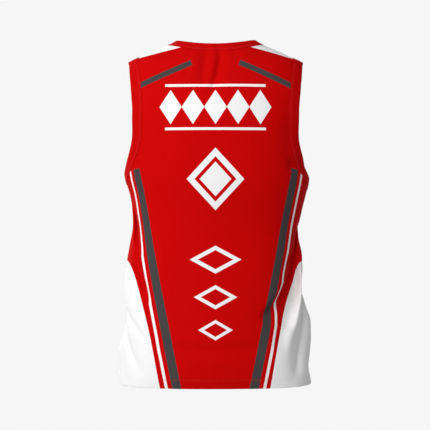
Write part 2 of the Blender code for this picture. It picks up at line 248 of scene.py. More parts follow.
# Colours, linear
RED = (0.565, 0.0012, 0.0012)
WHITE = (0.900, 0.900, 0.905)
CHARCOAL = (0.060, 0.056, 0.058)
RED_THREAD = (0.700, 0.030, 0.030)
BAND_SHADE = 0.95           # of the bindings' red
INNER_RED = (0.420, 0.012, 0.012)
INNER_WHITE = (0.740, 0.735, 0.735)
RED_SHEEN = (1.0, 0.02, 0.02)
INNER_RED_SHEEN = (1.0, 0.4, 0.4)
WHITE_SHEEN = (1.0, 1.0, 1.0)


# ---- the form


def through_rows(column, height):
    """The value of one column of LEVELS at any height, on a smooth curve."""
    at = np.array([level.height for level in LEVELS])
    value = np.array([getattr(level, column) for level in LEVELS])
    slope = np.gradient(value, at)
    row = np.clip(np.searchsorted(at, height) - 1, 0, len(at) - 2)
    span = at[row + 1] - at[row]
    t = (height - at[row]) / span
    rising = t * t * (3 - 2 * t)
    leaving = t * (1 - t) ** 2 * span * slope[row]
    arriving = t * t * (t - 1) * span * slope[row + 1]
    return (1 - rising) * value[row] + rising * value[row + 1] + leaving + arriving


def form(place):
    """The bare form's points for an array of (turn, height) pairs."""
    turn, height = place[..., 0], place[..., 1]
    across = (np.sin(turn) + SQUARENESS * np.sin(3 * turn)) / (1 - SQUARENESS)
    behind = (np.cos(turn) - SQUARENESS * np.cos(3 * turn)) / (1 - SQUARENESS)
    half_width = np.where(across > 0, through_rows("right", height), through_rows("left", height))
    half_depth = np.where(behind > 0, through_rows("back", height), through_rows("front", height))
    return np.stack((half_width * across, -half_depth * behind, height), axis=-1)


def place_at(degrees, height):
    """One place, from its turn in degrees and its height."""
    return np.array((math.radians(degrees), height))


def lengths(vectors):
    return np.linalg.norm(vectors, axis=-1)


def unit(vectors):
    return vectors / lengths(vectors)[..., None]


def tangents(place):
    """How the form's points move as the turn grows and as the height grows."""
    moved = []
    for step in ((SMALL_STEP, 0), (0, SMALL_STEP)):
        moved.append((form(place + step) - form(place - step)) / (2 * SMALL_STEP))
    return moved


def outward(place):
    round_body, up_body = tangents(place)
    return unit(np.cross(round_body, up_body))


def fold_rise(points):
    """How far the solids' folds lift the cloth off the form at each point."""
    rise = np.zeros(points.shape[:-1])
    for fold in FOLDS:
        start = form(place_at(fold.turn_start, fold.height_start))
        run = form(place_at(fold.turn_end, fold.height_end)) - start
        along = np.clip(((points - start) @ run) / (run @ run), 0, 1)
        aside = lengths(points - start - along[..., None] * run)
        rise += fold.rise * np.exp(-((aside / fold.reach) ** 2))
    return rise


def turn_where(axis, value, height, low, high):
    """The turns between low and high at which the form's outline has these x or y."""
    low = np.full(np.shape(height), float(low))
    high = np.full(np.shape(height), float(high))
    for _ in range(HALVINGS):
        middle = (low + high) / 2
        short = form(np.stack((middle, height), axis=-1))[..., axis] < value
        low = np.where(short, middle, low)
        high = np.where(short, high, middle)
    return low


def walk(place, heading, distance):
    """Moves each place a distance over the form, in the direction nearest heading."""
    round_body, up_body = tangents(place)
    a = np.sum(round_body * round_body, axis=-1)
    b = np.sum(round_body * up_body, axis=-1)
    c = np.sum(up_body * up_body, axis=-1)
    p = np.sum(round_body * heading, axis=-1)
    q = np.sum(up_body * heading, axis=-1)
    shift = np.stack((c * p - b * q, a * q - b * p), axis=-1)
    return place + shift * (distance / (a * c - b * b))[..., None]


def beside(loop, distance):
    """A loop of places moved sideways over the form: out from a clockwise one."""
    for _ in range(WALK_STEPS):
        points = form(loop)
        ahead = unit(np.roll(points, -1, axis=0) - np.roll(points, 1, axis=0))
        loop = walk(loop, np.cross(outward(loop), ahead), distance / WALK_STEPS)
    return loop


# ---- cut lines


def travelled(steps):
    """How far along a run the ends of its steps are."""
    return np.concatenate(((0,), np.cumsum(steps)))


def fractions(steps):
    """How far along a run the ends of its steps are, from 0 to 1."""
    reached = travelled(steps)
    return reached / reached[-1]


def between_points(points):
    return lengths(np.diff(points, axis=0))


def evenly(curve, start, end, steps):
    """Places on a curve, the same distance apart along the cloth."""
    fine = np.linspace(start, end, FINE_STEPS)
    reached = fractions(between_points(form(curve(fine))))
    return curve(np.interp(np.linspace(0, 1, steps + 1), reached, fine))


def straight(start, end, steps):
    return evenly(lambda share: start + (end - start) * share[:, None], 0, 1, steps)


def chain(*runs):
    """Joins runs of places, where each starts at the last one's end."""
    return np.concatenate([runs[0]] + [run[1:] for run in runs[1:]])


def closed(loop):
    """A loop of places that ends on the place where it starts."""
    return np.concatenate((loop, loop[:1]))


def neck_quarter(face):
    """The neck's cut edge on the right, from the shoulder to the middle."""
    def curve(share):
        angle = QUARTER * share ** 2
        height = -NECK_DROP[face] * np.sin(angle) ** NECK_ROUNDNESS[face]
        across = np.minimum(NECK_HALF_WIDTH * np.cos(angle), through_rows("right", 0.0))
        turn = turn_where(0, across, height, 0, QUARTER)
        return np.stack((turn if face == BACK else math.pi - turn, height), axis=-1)
    mark = YOKE_AT_NECK[face]
    return chain(evenly(curve, 0, mark, NECK_TO_YOKE), evenly(curve, mark, 1, YOKE_TO_MIDDLE[face]))


def neck_loop():
    """The neck's cut edge: right shoulder, back, left shoulder, front; clockwise from above."""
    back, front = neck_quarter(BACK), neck_quarter(FRONT)
    mirrored = (-1, 1)
    runs = (back[:-1], (back * mirrored)[:0:-1], (front * mirrored)[:-1], front[:0:-1])
    return np.concatenate(runs)


def neck_quarters(loop):
    """Cuts a neck loop into its quarters, each from the shoulder to the middle."""
    whole = closed(loop)
    back = NECK_TO_YOKE + YOKE_TO_MIDDLE[BACK]
    front = NECK_TO_YOKE + YOKE_TO_MIDDLE[FRONT]
    return {
        (RIGHT, BACK): whole[:back + 1],
        (LEFT, BACK): whole[back:2 * back + 1][::-1],
        (LEFT, FRONT): whole[2 * back:2 * back + front + 1],
        (RIGHT, FRONT): whole[2 * back + front:][::-1],
    }


def armhole_half(side, face):
    """An armhole's cut edge, from the shoulder tip to the underarm."""
    half_height = (ARMHOLE_TOP - ARMHOLE_BOTTOM[side]) / 2

    def curve(angle):
        height = ARMHOLE_BOTTOM[side] + half_height * (1 + np.cos(angle))
        depth = face * ARMHOLE_REACH[face] * np.sin(angle)
        turn = turn_where(1, depth, height, 0, math.pi)
        return np.stack((side * turn, height), axis=-1)
    yoke = evenly(curve, 0, YOKE_AT_ARMHOLE, ARMHOLE_TO_YOKE)
    upright = evenly(curve, YOKE_AT_ARMHOLE, LOW_ARMHOLE, YOKE_TO_LOW)
    return chain(yoke, upright, evenly(curve, LOW_ARMHOLE, math.pi, LOW_TO_UNDERARM))


def armhole_loop(side):
    """An armhole's cut edge: shoulder tip, back, underarm, front."""
    return np.concatenate((armhole_half(side, BACK)[:-1], armhole_half(side, FRONT)[:0:-1]))


def armhole_halves(side, loop):
    """Cuts an armhole loop in two, each half from the shoulder tip to the underarm."""
    whole = closed(loop)
    underarm = ARMHOLE_TO_YOKE + YOKE_TO_LOW + LOW_TO_UNDERARM
    return {(side, BACK): whole[:underarm + 1], (side, FRONT): whole[underarm:][::-1]}


def insert_seam(side, face):
    """One half of the seam round a side insert: from the hem to the corner, and on to the top."""
    def curve(share):
        turn = side * (QUARTER + face * INSERT_HALF_TURN * share)
        height = INSERT_TOP - (INSERT_TOP - HEM_HEIGHT) * share ** ARCH_POWER
        return np.stack((turn, height), axis=-1)
    flank = evenly(curve, 1, ARCH_CORNER, CORNER_TO_HEM)
    return flank, evenly(curve, ARCH_CORNER, 0, ARCH_TO_CORNER)


# ---- nets of places


def strides(edge):
    """How far along an edge each of its places is, taking the form as a plain tube."""
    return fractions(np.hypot(MEAN_RADIUS * np.diff(edge[:, 0]), np.diff(edge[:, 1])))


def fill(bottom, right, top, left):
    """A net of places between four edges that share their corners, as a Coons patch."""
    u = ((strides(bottom) + strides(top)) / 2)[None, :, None]
    v = ((strides(left) + strides(right)) / 2)[:, None, None]
    across = (1 - v) * bottom[None] + v * top[None]
    up = (1 - u) * left[:, None] + u * right[:, None]
    low = (1 - u) * bottom[0] + u * bottom[-1]
    high = (1 - u) * top[0] + u * top[-1]
    return across + up - (1 - v) * low - v * high


def narrowing(height):
    """How much of its greatest width the form has left, above its widest level."""
    greatest = through_rows("right", WIDEST_HEIGHT)
    return np.where(height > WIDEST_HEIGHT, through_rows("right", height) / greatest, 1)


def spread(places):
    """Places with turns swapped for ones that stay put up the narrowing shoulders."""
    turn = np.arcsin(np.sin(places[..., 0]) * narrowing(places[..., 1]))
    return np.stack((turn, places[..., 1]), axis=-1)


def gathered(net, face):
    """Undoes spread for a net on the back or the front."""
    turn = np.arcsin(np.clip(np.sin(net[..., 0]) / narrowing(net[..., 1]), -1, 1))
    return np.stack((turn if face == BACK else math.pi - turn, net[..., 1]), axis=-1)


def side_insert(side):
    """The pale arch at one side, from the hem up."""
    back_seam, back_arch = insert_seam(side, BACK)
    front_seam, front_arch = insert_seam(side, FRONT)
    top = chain(back_arch, front_arch[::-1])
    hem = straight(back_seam[0], front_seam[0], len(top) - 1)
    return [fill(hem, front_seam, top, back_seam)]


def shoulder_yoke(side, neck, arm):
    """The pale saddle over one shoulder, between the neck band and the armhole band."""
    at_neck = chain(neck[side, BACK][NECK_TO_YOKE::-1], neck[side, FRONT][:NECK_TO_YOKE + 1])
    at_arm = chain(arm[side, BACK][ARMHOLE_TO_YOKE::-1], arm[side, FRONT][:ARMHOLE_TO_YOKE + 1])
    back = straight(at_neck[0], at_arm[0], YOKE_SEAM)
    front = straight(at_neck[-1], at_arm[-1], YOKE_SEAM)
    return [fill(at_neck, front, at_arm, back)]


def panel(face, neck, arm):
    """The back or front as three nets, split level with the arches and the low armholes."""
    low = ARMHOLE_TO_YOKE + YOKE_TO_LOW
    flank, arch, waist, underarm, chest, top = ({} for _ in range(6))
    for side in (LEFT, RIGHT):
        armhole = arm[side, face]
        neckline = neck[side, face][NECK_TO_YOKE:]
        yoke_seam = straight(neckline[0], armhole[ARMHOLE_TO_YOKE], YOKE_SEAM)[::-1]
        flank[side], arch[side] = (spread(seam) for seam in insert_seam(side, face))
        underarm[side] = spread(armhole[:low - 1:-1])
        waist[side] = np.linspace(arch[side][-1], underarm[side][0], SIDE_SEAM + 1)
        chest[side] = spread(armhole[low:ARMHOLE_TO_YOKE - 1:-1])
        top[side] = spread(chain(yoke_seam, neckline))
    top = chain(top[LEFT], top[RIGHT][::-1])
    hem = np.linspace(flank[LEFT][0], flank[RIGHT][0], len(top))
    at_arches = np.linspace(flank[LEFT][-1], flank[RIGHT][-1], len(top))
    at_armholes = np.linspace(chest[LEFT][0], chest[RIGHT][0], len(top))
    over_arches = chain(arch[LEFT][::-1], at_arches, arch[RIGHT])
    under_arms = chain(underarm[LEFT], at_armholes, underarm[RIGHT][::-1])
    nets = (
        fill(hem, flank[RIGHT], at_arches, flank[LEFT]),
        fill(over_arches, waist[RIGHT], under_arms, waist[LEFT]),
        fill(at_armholes, chest[RIGHT], top, chest[LEFT]),
    )
    return [gathered(net, face) for net in nets]


# ---- the cloth's relief


def crease_line(crease):
    """The points of a crease, on a curve through the form."""
    share = np.linspace(0, 1, CREASE_POINTS)[:, None]
    start = place_at(crease.turn, crease.height)
    bend = place_at(crease.bend_turn, crease.bend_height)
    end = place_at(crease.end_turn, crease.end_height)
    return form((1 - share) ** 2 * start + 2 * share * (1 - share) * bend + share ** 2 * end)


def crease_rise(points, normals):
    """How far the finer creases lift the cloth at each point."""
    rise = np.zeros(len(points))
    for crease in CREASES:
        line = crease_line(crease)
        runs = np.diff(line, axis=0)
        margin = CREASE_MARGIN * max(crease.left, crease.right)
        near = np.all((points > line.min(0) - margin) & (points < line.max(0) + margin), axis=1)
        offset = points[near, None] - line[None, :-1]
        along = np.clip(np.sum(offset * runs, axis=2) / np.sum(runs * runs, axis=1), 0, 1)
        gap = offset - along[..., None] * runs
        distance = lengths(gap)
        nearest = np.argmin(distance, axis=1)
        row = np.arange(len(nearest))
        to_left = np.sum(np.cross(normals[near], runs[nearest]) * gap[row, nearest], axis=1) > 0
        reach = np.where(to_left, crease.left, crease.right)
        share = (nearest + along[row, nearest]) / len(runs)
        fade = np.sin(math.pi * share) ** CREASE_FADE
        rise[near] += crease.rise * fade * np.exp(-((distance[row, nearest] / reach) ** 2))
    return rise


def unevenness(points):
    """A soft irregular drape over the whole cloth, the same each run."""
    rise = np.zeros(len(points))
    for index, point in enumerate(points):
        for height, wave in ((DRAPE_RISE, DRAPE_WAVE), (RIPPLE_RISE, RIPPLE_WAVE)):
            rise[index] += height * noise.noise(Vector(point) / wave)
    return rise


def pulled(place):
    """Places moved to where the cloth is drawn round the body."""
    moved = place.copy()
    for pull in PULLS:
        middle = form(place_at(pull.turn, pull.height))
        aside = lengths(form(place) - middle)
        moved[..., 0] += math.radians(pull.round_by) * np.exp(-((aside / pull.reach) ** 2))
    return moved


def relief(place):
    """The middle of the cloth at each of a list of places, with every fold in it."""
    points = form(place)
    normals = outward(place)
    rise = (fold_rise(points) + unevenness(points))[:, None]
    push = unit(normals * CREASE_PUSH)
    depth = crease_rise(points, normals) / np.sum(push * normals, axis=1)
    return points + normals * rise + push * depth[:, None]


# ---- meshes

# A laid net has a row of six numbers at each of its points: turn and height, then the lift off
# the form and the drop below the place, then the two coordinates of the cloth's own measure.


def arc_lengths(place, middle):
    """Cloth length round the body from a middle turn to each place, along its own level."""
    share = np.linspace(0, 1, ARC_STEPS)
    turn = middle + (place[..., :1] - middle) * share
    level = np.broadcast_to(place[..., 1:], turn.shape)
    steps = lengths(np.diff(form(np.stack((turn, level), axis=-1)), axis=-2))
    return np.sign(place[..., 0] - middle) * steps.sum(axis=-1)


def with_folds(net, arcs):
    """Cloth lengths round the body with what the folds take up added, row by row of the net."""
    folded = relief(pulled(net.reshape(-1, 2))).reshape(*net.shape[:2], 3)
    bare = lengths(np.diff(form(net), axis=1))
    stretch = lengths(np.diff(folded, axis=1)) / np.maximum(bare, SMALLEST_RUN)
    steps = np.diff(arcs, axis=1) * stretch
    whole = np.cumsum(np.pad(steps, ((0, 0), (1, 0))), axis=1)
    for row, arc in zip(whole, arcs):
        way = np.argsort(arc)
        row -= np.interp(0, arc[way], row[way])
    return whole


def facing_out(net, row, column):
    """The net with its columns in the order that turns its faces away from the body there."""
    places = net[[row, row, row + 1], [column, column + 1, column], :2]
    corner, beside_it, above_it = form(places)
    normal = np.cross(beside_it - corner, above_it - corner)
    return net if normal @ outward(places[0]) > 0 else net[:, ::-1]


def laid(net, middle, hemmed=False):
    """A net of places as a laid net; a hemmed one has its first row turned up inside."""
    net = facing_out(net, net.shape[0] // 2, net.shape[1] // 2)
    flat = np.zeros(net.shape[:2])
    measure = (with_folds(net, arc_lengths(net, middle)), net[..., 1])
    cloth = np.concatenate((net, np.stack((flat, flat, *measure), axis=-1)), axis=-1)
    if not hemmed:
        return cloth
    rows = []
    edge = cloth[0]
    for height in np.linspace(HEM_TURN_UP, HEM_LAST_ROW, HEM_ROWS):
        rows.append((height, -2 * FOLD_RADIUS, 0))
    for angle in np.linspace(math.pi, 0, FOLD_ROWS)[:-1]:
        rows.append((0.0, -FOLD_RADIUS * (1 - math.cos(angle)), FOLD_RADIUS * math.sin(angle)))
    turned_up = []
    for height, lift, drop in rows:
        row = edge.copy()
        row[:, 1] += height
        row[:, 2:4] = lift, drop
        row[:, 5] -= height + drop - lift
        turned_up.append(row)
    return np.concatenate((turned_up, cloth))


def laid_binding(cut_edge, width, side):
    """A binding folded in two round an opening, as a laid net; side 1 or -1 leads away from it."""
    across = []
    for distance in np.linspace(width, FOLD_RADIUS, BAND_ROWS):
        across.append((distance, 1))
    for angle in np.linspace(0, math.pi, FOLD_ROWS)[1:-1]:
        across.append((FOLD_RADIUS * (1 - math.sin(angle)), math.cos(angle)))
    for distance in np.linspace(FOLD_RADIUS, width, BAND_ROWS):
        across.append((distance, -1))
    length = travelled(between_points(form(closed(cut_edge))))
    rows, width_so_far, last = [], 0.0, across[0]
    for distance, lift in across:
        line = closed(beside(cut_edge, side * distance))
        width_so_far += abs(distance - last[0]) + FOLD_RADIUS * abs(lift - last[1])
        last = distance, lift
        numbers = np.zeros((len(line), 4))
        crown = BAND_CROWN * math.sin(math.pi * min(distance / width, 1))
        numbers[:, 0] = lift * (FOLD_RADIUS + crown)
        numbers[:, 2] = length
        numbers[:, 3] = width_so_far
        rows.append(np.concatenate((line, numbers), axis=1))
    return facing_out(np.stack(rows), 0, 0)


def grid_faces(rows, columns, first=0):
    index = first + np.arange(rows * columns).reshape(rows, columns)
    corners = (index[:-1, :-1], index[:-1, 1:], index[1:, 1:], index[1:, :-1])
    return np.stack(corners, axis=-1).reshape(-1, 4)


def new_mesh(name, points, faces, uv):
    """A smooth mesh object whose UV map measures the cloth in metres."""
    mesh = bpy.data.meshes.new(name)
    mesh.from_pydata(points.tolist(), [], faces)
    corner = np.empty(len(mesh.loops), int)
    mesh.loops.foreach_get("vertex_index", corner)
    layer = mesh.uv_layers.new(name="cloth")
    layer.data.foreach_set("uv", uv[corner].astype(np.float32).ravel())
    mesh.shade_smooth()
    return bpy.data.objects.new(name, mesh)


def open_edges(faces):
    """The pairs of points that only one face joins."""
    pairs = np.concatenate([faces[:, [i, (i + 1) % 4]] for i in range(4)])
    pairs = pairs[pairs[:, 0] != pairs[:, 1]]
    ordered, count = np.unique(np.sort(pairs, axis=1), axis=0, return_counts=True)
    return ordered[count == 1]


def seam_roll(points, normals, border):
    """Dips the cloth's border and lifts the cloth just inside it."""
    tree = kdtree.KDTree(len(border))
    for index, point in enumerate(points[border]):
        tree.insert(point, index)
    tree.balance()
    distance = np.array([tree.find(point)[2] for point in points])
    share = distance / SEAM_REACH
    return normals * (SEAM_ROLL * (2 * share - 1) * np.exp(-share ** 2))[:, None]


def cloth_piece(name, nets, materials, rolled=True):
    """A cut piece of cloth: laid nets that meet edge to edge, with relief and a wall."""
    faces, first = [], 0
    for net in nets:
        faces.append(grid_faces(*net.shape[:2], first))
        first += net.shape[0] * net.shape[1]
    numbers = np.concatenate([net.reshape(-1, 6) for net in nets])
    faces = np.concatenate(faces)
    _, kept, merged = np.unique(
        numbers[:, :4].round(SAME_PLACE), axis=0, return_index=True, return_inverse=True)
    numbers, uv_of, faces = numbers[kept], numbers[:, 4:], merged.reshape(-1)[faces]
    places = pulled(numbers[:, :2])
    normals = outward(places)
    points = relief(places) + normals * numbers[:, 2:3] - np.array((0, 0, 1)) * numbers[:, 3:4]
    edges = open_edges(faces)
    if rolled:
        points += seam_roll(points, normals, np.unique(edges))
    distinct = [[point for corner, point in enumerate(face) if point != face[corner - 1]]
                for face in faces.tolist()]
    made = new_mesh(name, points, distinct, uv_of[kept])
    mark_sharp(made.data, edges)
    for material in materials:
        made.data.materials.append(material)
    shell = made.modifiers.new("Wall", "SOLIDIFY")
    shell.thickness = PANEL_WALL
    shell.offset = 0
    shell.material_offset = len(materials) - 1
    return made


def mark_sharp(mesh, edges):
    """Keeps the cloth's cut border crisp once it has a wall."""
    wanted = {tuple(pair) for pair in edges.tolist()}
    sharp = mesh.attributes.new("sharp_edge", "BOOLEAN", "EDGE")
    sharp.data.foreach_set("value", [tuple(sorted(edge.vertices)) in wanted for edge in mesh.edges])


# ---- stitching


def stitch_shape():
    """One stitch along +X, as rings of points and its faces."""
    angles = np.arange(STITCH_SIDES) * (2 * math.pi / STITCH_SIDES)
    points = []
    for along, width in STITCH_RINGS:
        size = STITCH_RADIUS * width
        ring = np.stack((np.full(STITCH_SIDES, along * STITCH_LENGTH / 2),
                         size * np.cos(angles), size * np.sin(angles)), axis=-1)
        points.append(ring)
    index = np.arange(len(STITCH_RINGS) * STITCH_SIDES).reshape(len(STITCH_RINGS), STITCH_SIDES)
    turned = np.roll(index, -1, axis=1)
    faces = np.stack((index[:-1], turned[:-1], turned[1:], index[1:]), axis=-1).reshape(-1, 4)
    return np.concatenate(points), faces


def stitch_row(line, lift):
    """Middles, directions and outward directions of stitches along a line of places."""
    normals = outward(line)
    points = relief(line) + normals * lift
    reached = travelled(between_points(points))
    at = np.arange(STITCH_PITCH / 2, reached[-1], STITCH_PITCH)
    half = STITCH_LENGTH / 2
    here, behind, ahead, up = (
        np.stack([np.interp(at + shift, reached, values[:, axis]) for axis in range(3)], axis=-1)
        for shift, values in ((0, points), (-half, points), (half, points), (0, normals))
    )
    return here, unit(ahead - behind), unit(up)


def stitching(name, rows, material):
    """Many stitches as one joined mesh; rows holds pairs of a line of places and a lift."""
    shape, shape_faces = stitch_shape()
    points, faces, first = [], [], 0
    for line, lift in rows:
        middles, along, up = stitch_row(line, lift)
        aside = np.cross(up, along)
        placed = (middles[:, None] + shape[None, :, :1] * along[:, None]
                  + shape[None, :, 1:2] * aside[:, None] + shape[None, :, 2:] * up[:, None])
        points.append(placed.reshape(-1, 3))
        starts = first + len(shape) * np.arange(len(middles))
        faces.append((shape_faces[None] + starts[:, None, None]).reshape(-1, 4))
        first += len(points[-1])
    points, faces = np.concatenate(points), np.concatenate(faces)
    made = new_mesh(name, points, faces.tolist(), points[:, :2])
    made.data.materials.append(material)
    return made


# ---- shader arithmetic


class Field:
    """A number that varies over the cloth: a shader node's output, with arithmetic."""

    def __init__(self, tree, socket):
        self.tree = tree
        self.socket = socket

    def _math(self, operation, *others, clamp=False):
        node = add_node(self.tree, "Math")
        node.operation = operation
        node.use_clamp = clamp
        for value, socket in zip((self, *others), node.inputs):
            give(self.tree, value, socket)
        return Field(self.tree, node.outputs[0])

    __add__ = partialmethod(_math, "ADD")
    __sub__ = partialmethod(_math, "SUBTRACT")
    __mul__ = partialmethod(_math, "MULTIPLY")
    __truediv__ = partialmethod(_math, "DIVIDE")
    size = partialmethod(_math, "ABSOLUTE")
    least = partialmethod(_math, "MINIMUM")
    most = partialmethod(_math, "MAXIMUM")
    remainder = partialmethod(_math, "FRACT")
    sine = partialmethod(_math, "SINE")

    def inside(self):
        """1 where the field is above 0, with an edge as soft as ink in cloth."""
        return (self / PRINT_EDGE + 0.5)._math("ADD", 0.0, clamp=True)


def give(tree, value, socket):
    """Sets a socket to a number or a colour's three numbers, or links a field or another socket."""
    if isinstance(value, Field):
        value = value.socket
    if isinstance(value, bpy.types.NodeSocket):
        tree.links.new(value, socket)
    elif isinstance(value, tuple):
        socket.default_value = (*value, 1)[:len(socket.default_value)]
    else:
        socket.default_value = value


def add_node(tree, kind, **inputs):
    """A new shader node, with inputs given by name."""
    node = tree.nodes.new("ShaderNode" + kind)
    for name, value in inputs.items():
        give(tree, value, node.inputs[name])
    return node


def between(field, low, high):
    """The lesser distance inside two limits."""
    return (field - low).least((field * -1) + high)


def diamond(s, z, height, half_width, half_height):
    """Distance inside a diamond, in metres."""
    share = s.size() / half_width + (z - height).size() / half_height
    return (share * -1 + 1) * (half_width * half_height / math.hypot(half_width, half_height))


def strip(s, z, start, end, width):
    """Distance inside a straight strip that runs between two (s, z) points."""
    run_s, run_z = end[0] - start[0], end[1] - start[1]
    length = math.hypot(run_s, run_z)
    from_s, from_z = s - start[0], z - start[1]
    along = from_s * (run_s / length) + from_z * (run_z / length)
    aside = from_s * (run_z / length) - from_z * (run_s / length)
    return between(along, 0, length).least(aside.size() * -1 + width / 2)


# ---- the print

PRINT_EDGE = 0.0006         # how far the edge of the ink is blurred

# Stripes, the same on both sides: both ends as (cloth length from the middle, height), the width
# and the colour
STRIPES = (
    ((0.176, -0.280), (0.074, -0.770), 0.019, CHARCOAL),
    ((0.198, -0.280), (0.096, -0.770), 0.006, WHITE),
    ((0.052, -0.056), (0.178, -0.112), 0.012, CHARCOAL),
)
# A row of diamonds across: height of its middle, half width and half height of a diamond, count
DIAMOND_ROW = {BACK: (-0.152, 0.0235, 0.036, 5), FRONT: (-0.222, 0.0175, 0.030, 5)}
RULE_GAP = 0.007            # from the row to the rules above and below it
RULE_WIDTH = 0.0055
# Diamonds on the middle line: height of the middle, half width, half height, stroke
Gem = namedtuple("Gem", "height half_width half_height stroke")
GEMS = {
    BACK: (
        Gem(-0.302, 0.060, 0.065, 0.012),
        Gem(-0.302, 0.033, 0.036, 0.036),
        Gem(-0.470, 0.054, 0.029, 0.008),
        Gem(-0.548, 0.045, 0.025, 0.007),
        Gem(-0.616, 0.036, 0.021, 0.006),
    ),
    FRONT: (
        Gem(-0.345, 0.060, 0.065, 0.012),
        Gem(-0.345, 0.033, 0.036, 0.036),
    ),
}


def print_masks(s, z, face):
    """How much white and how much charcoal print there is, each from 0 to 1."""
    aside = s.size()
    shapes = {WHITE: [], CHARCOAL: []}
    for top, end, width, colour in STRIPES:
        shapes[colour].append(strip(aside, z, top, end, width))
    height, half_width, half_height, count = DIAMOND_ROW[face]
    near = ((s / (2 * half_width) + 0.5).remainder() - 0.5) * (2 * half_width)
    row = diamond(near, z, height, half_width, half_height)
    shapes[WHITE].append(row.least(aside * -1 + count * half_width))
    rule = (z - height).size()
    rule = between(rule, half_height + RULE_GAP, half_height + RULE_GAP + RULE_WIDTH)
    shapes[WHITE].append(rule.least(aside * -1 + (count - 0.5) * half_width))
    for gem in GEMS[face]:
        outline = diamond(s, z, gem.height, gem.half_width, gem.half_height)
        shapes[WHITE].append(outline.least(outline * -1 + gem.stroke))
    return [reduce(Field.most, shapes[colour]).inside() for colour in (WHITE, CHARCOAL)]


# ---- materials

SPECULAR = 0.03             # low, as on matt polyester
SHEEN_ROUGHNESS = 0.45
THREAD_SHADOW = 0.8         # of a thread's colour, in the hollows of its twist

# Knit: the pitch of its columns and rows, the slant of a loop's legs, how deep the groove between
# columns and the swell of a row are, and how high loops and yarn stand
WALE_PITCH = 0.00125
COURSE_PITCH = 0.00105
LOOP_SLANT = 1.6
LOOP_GROOVE = 1.2
LOOP_SWELL = 0.25
LOOP_HEIGHT = 0.00022
YARN_RELIEF = 0.35          # of the loops' height
# The shade of the cloth, what loops, slow blotches and yarn change in it, and in its roughness.
# What the loops change is painted shade: the colour is darker in the grooves between the loops.
BASE_SHADE = 0.93
LOOP_PAINTED_SHADE = 0.10
BLOTCH_SHADE = 0.05
YARN_SHADE = 0.10
BLOTCH_ROUGHNESS = 0.10
# Noise: waves a metre, and detail
BLOTCHES = (9.0, 2.0)
YARN = (700.0, 1.0)
TWIST = (1500.0, 1.0)


def new_material(name, looks):
    """A material, its nodes and its shader, with the shader's sockets given by name."""
    material = bpy.data.materials.new(name)
    material.use_nodes = True
    tree = material.node_tree
    shader = tree.nodes["Principled BSDF"]
    for socket, value in looks.items():
        give(tree, value, shader.inputs[socket])
    return material, tree, shader


def fibre(name, roughness, sheen, sheen_tint):
    """A material with the gloss and sheen of matt polyester."""
    return new_material(name, {
        "Roughness": roughness, "Specular IOR Level": SPECULAR, "Sheen Weight": sheen,
        "Sheen Roughness": SHEEN_ROUGHNESS, "Sheen Tint": sheen_tint,
    })


def cloth_measure(tree):
    """The two coordinates of the cloth's own measure, in metres."""
    uv_map = add_node(tree, "UVMap")
    uv_map.uv_map = "cloth"
    split = add_node(tree, "SeparateXYZ", Vector=uv_map.outputs["UV"])
    return Field(tree, split.outputs[0]), Field(tree, split.outputs[1])


def noise_field(tree, scale, detail):
    """Noise fixed to the cloth in space, about 0.5."""
    coordinates = add_node(tree, "TexCoord").outputs["Object"]
    texture = add_node(tree, "TexNoise", Vector=coordinates, Scale=scale, Detail=detail)
    return Field(tree, texture.outputs["Fac"])


def knit_relief(s, z):
    """The height of the knit loops: upright columns of small arrowheads, from 0 to 1."""
    across = ((s / WALE_PITCH).remainder() - 0.5).size()
    along = z / COURSE_PITCH + across * LOOP_SLANT
    loops = (along * (2 * math.pi)).sine() * LOOP_SWELL + 0.5
    return loops * (across * -LOOP_GROOVE + 1.0)


def mixed(tree, share, first, second):
    """A colour between two colours."""
    node = add_node(tree, "Mix")
    node.data_type = "RGBA"
    for index, value in ((0, share), (6, first), (7, second)):
        give(tree, value, node.inputs[index])
    return node.outputs[2]


def scaled(tree, colour, share):
    """A colour made darker or lighter by a field."""
    node = add_node(tree, "VectorMath")
    node.operation = "SCALE"
    give(tree, colour, node.inputs[0])
    give(tree, share, node.inputs["Scale"])
    return node.outputs[0]


def bump(tree, shader, height, strength, distance):
    node = add_node(tree, "Bump", Strength=strength, Distance=distance, Height=height)
    give(tree, node.outputs["Normal"], shader.inputs["Normal"])


def knit(name, base, sheen_tint, face=None, roughness=0.82, sheen=0.10):
    """Fine interlock knit, with the print of a face if one is given."""
    material, tree, shader = fibre(name, roughness, sheen, sheen_tint)
    s, z = cloth_measure(tree)
    loops = knit_relief(s, z)
    colour = base
    if face is not None:
        white, dark = print_masks(s, z, face)
        colour = mixed(tree, white, mixed(tree, dark, base, CHARCOAL), WHITE)
    blotches = noise_field(tree, *BLOTCHES)
    yarn = noise_field(tree, *YARN)
    # Painted shade: the loops darken the colour in the grooves between them. Blotches and yarn vary
    # it at random.
    shade = loops * LOOP_PAINTED_SHADE + BASE_SHADE
    shade = shade + (blotches - 0.5) * BLOTCH_SHADE + (yarn - 0.5) * YARN_SHADE
    give(tree, scaled(tree, colour, shade), shader.inputs["Base Color"])
    give(tree, (blotches - 0.5) * BLOTCH_ROUGHNESS + roughness, shader.inputs["Roughness"])
    bump(tree, shader, loops + yarn * YARN_RELIEF, strength=0.45, distance=LOOP_HEIGHT)
    return material


def thread(name, colour):
    """Glossier spun polyester sewing thread, with its twist."""
    material, tree, shader = fibre(name, roughness=0.55, sheen=0.15, sheen_tint=colour)
    twist = noise_field(tree, *TWIST)
    shadow = tuple(THREAD_SHADOW * part for part in colour)
    give(tree, mixed(tree, twist, shadow, colour), shader.inputs["Base Color"])
    bump(tree, shader, twist, strength=0.5, distance=0.0001)
    return material


# ---- the garment


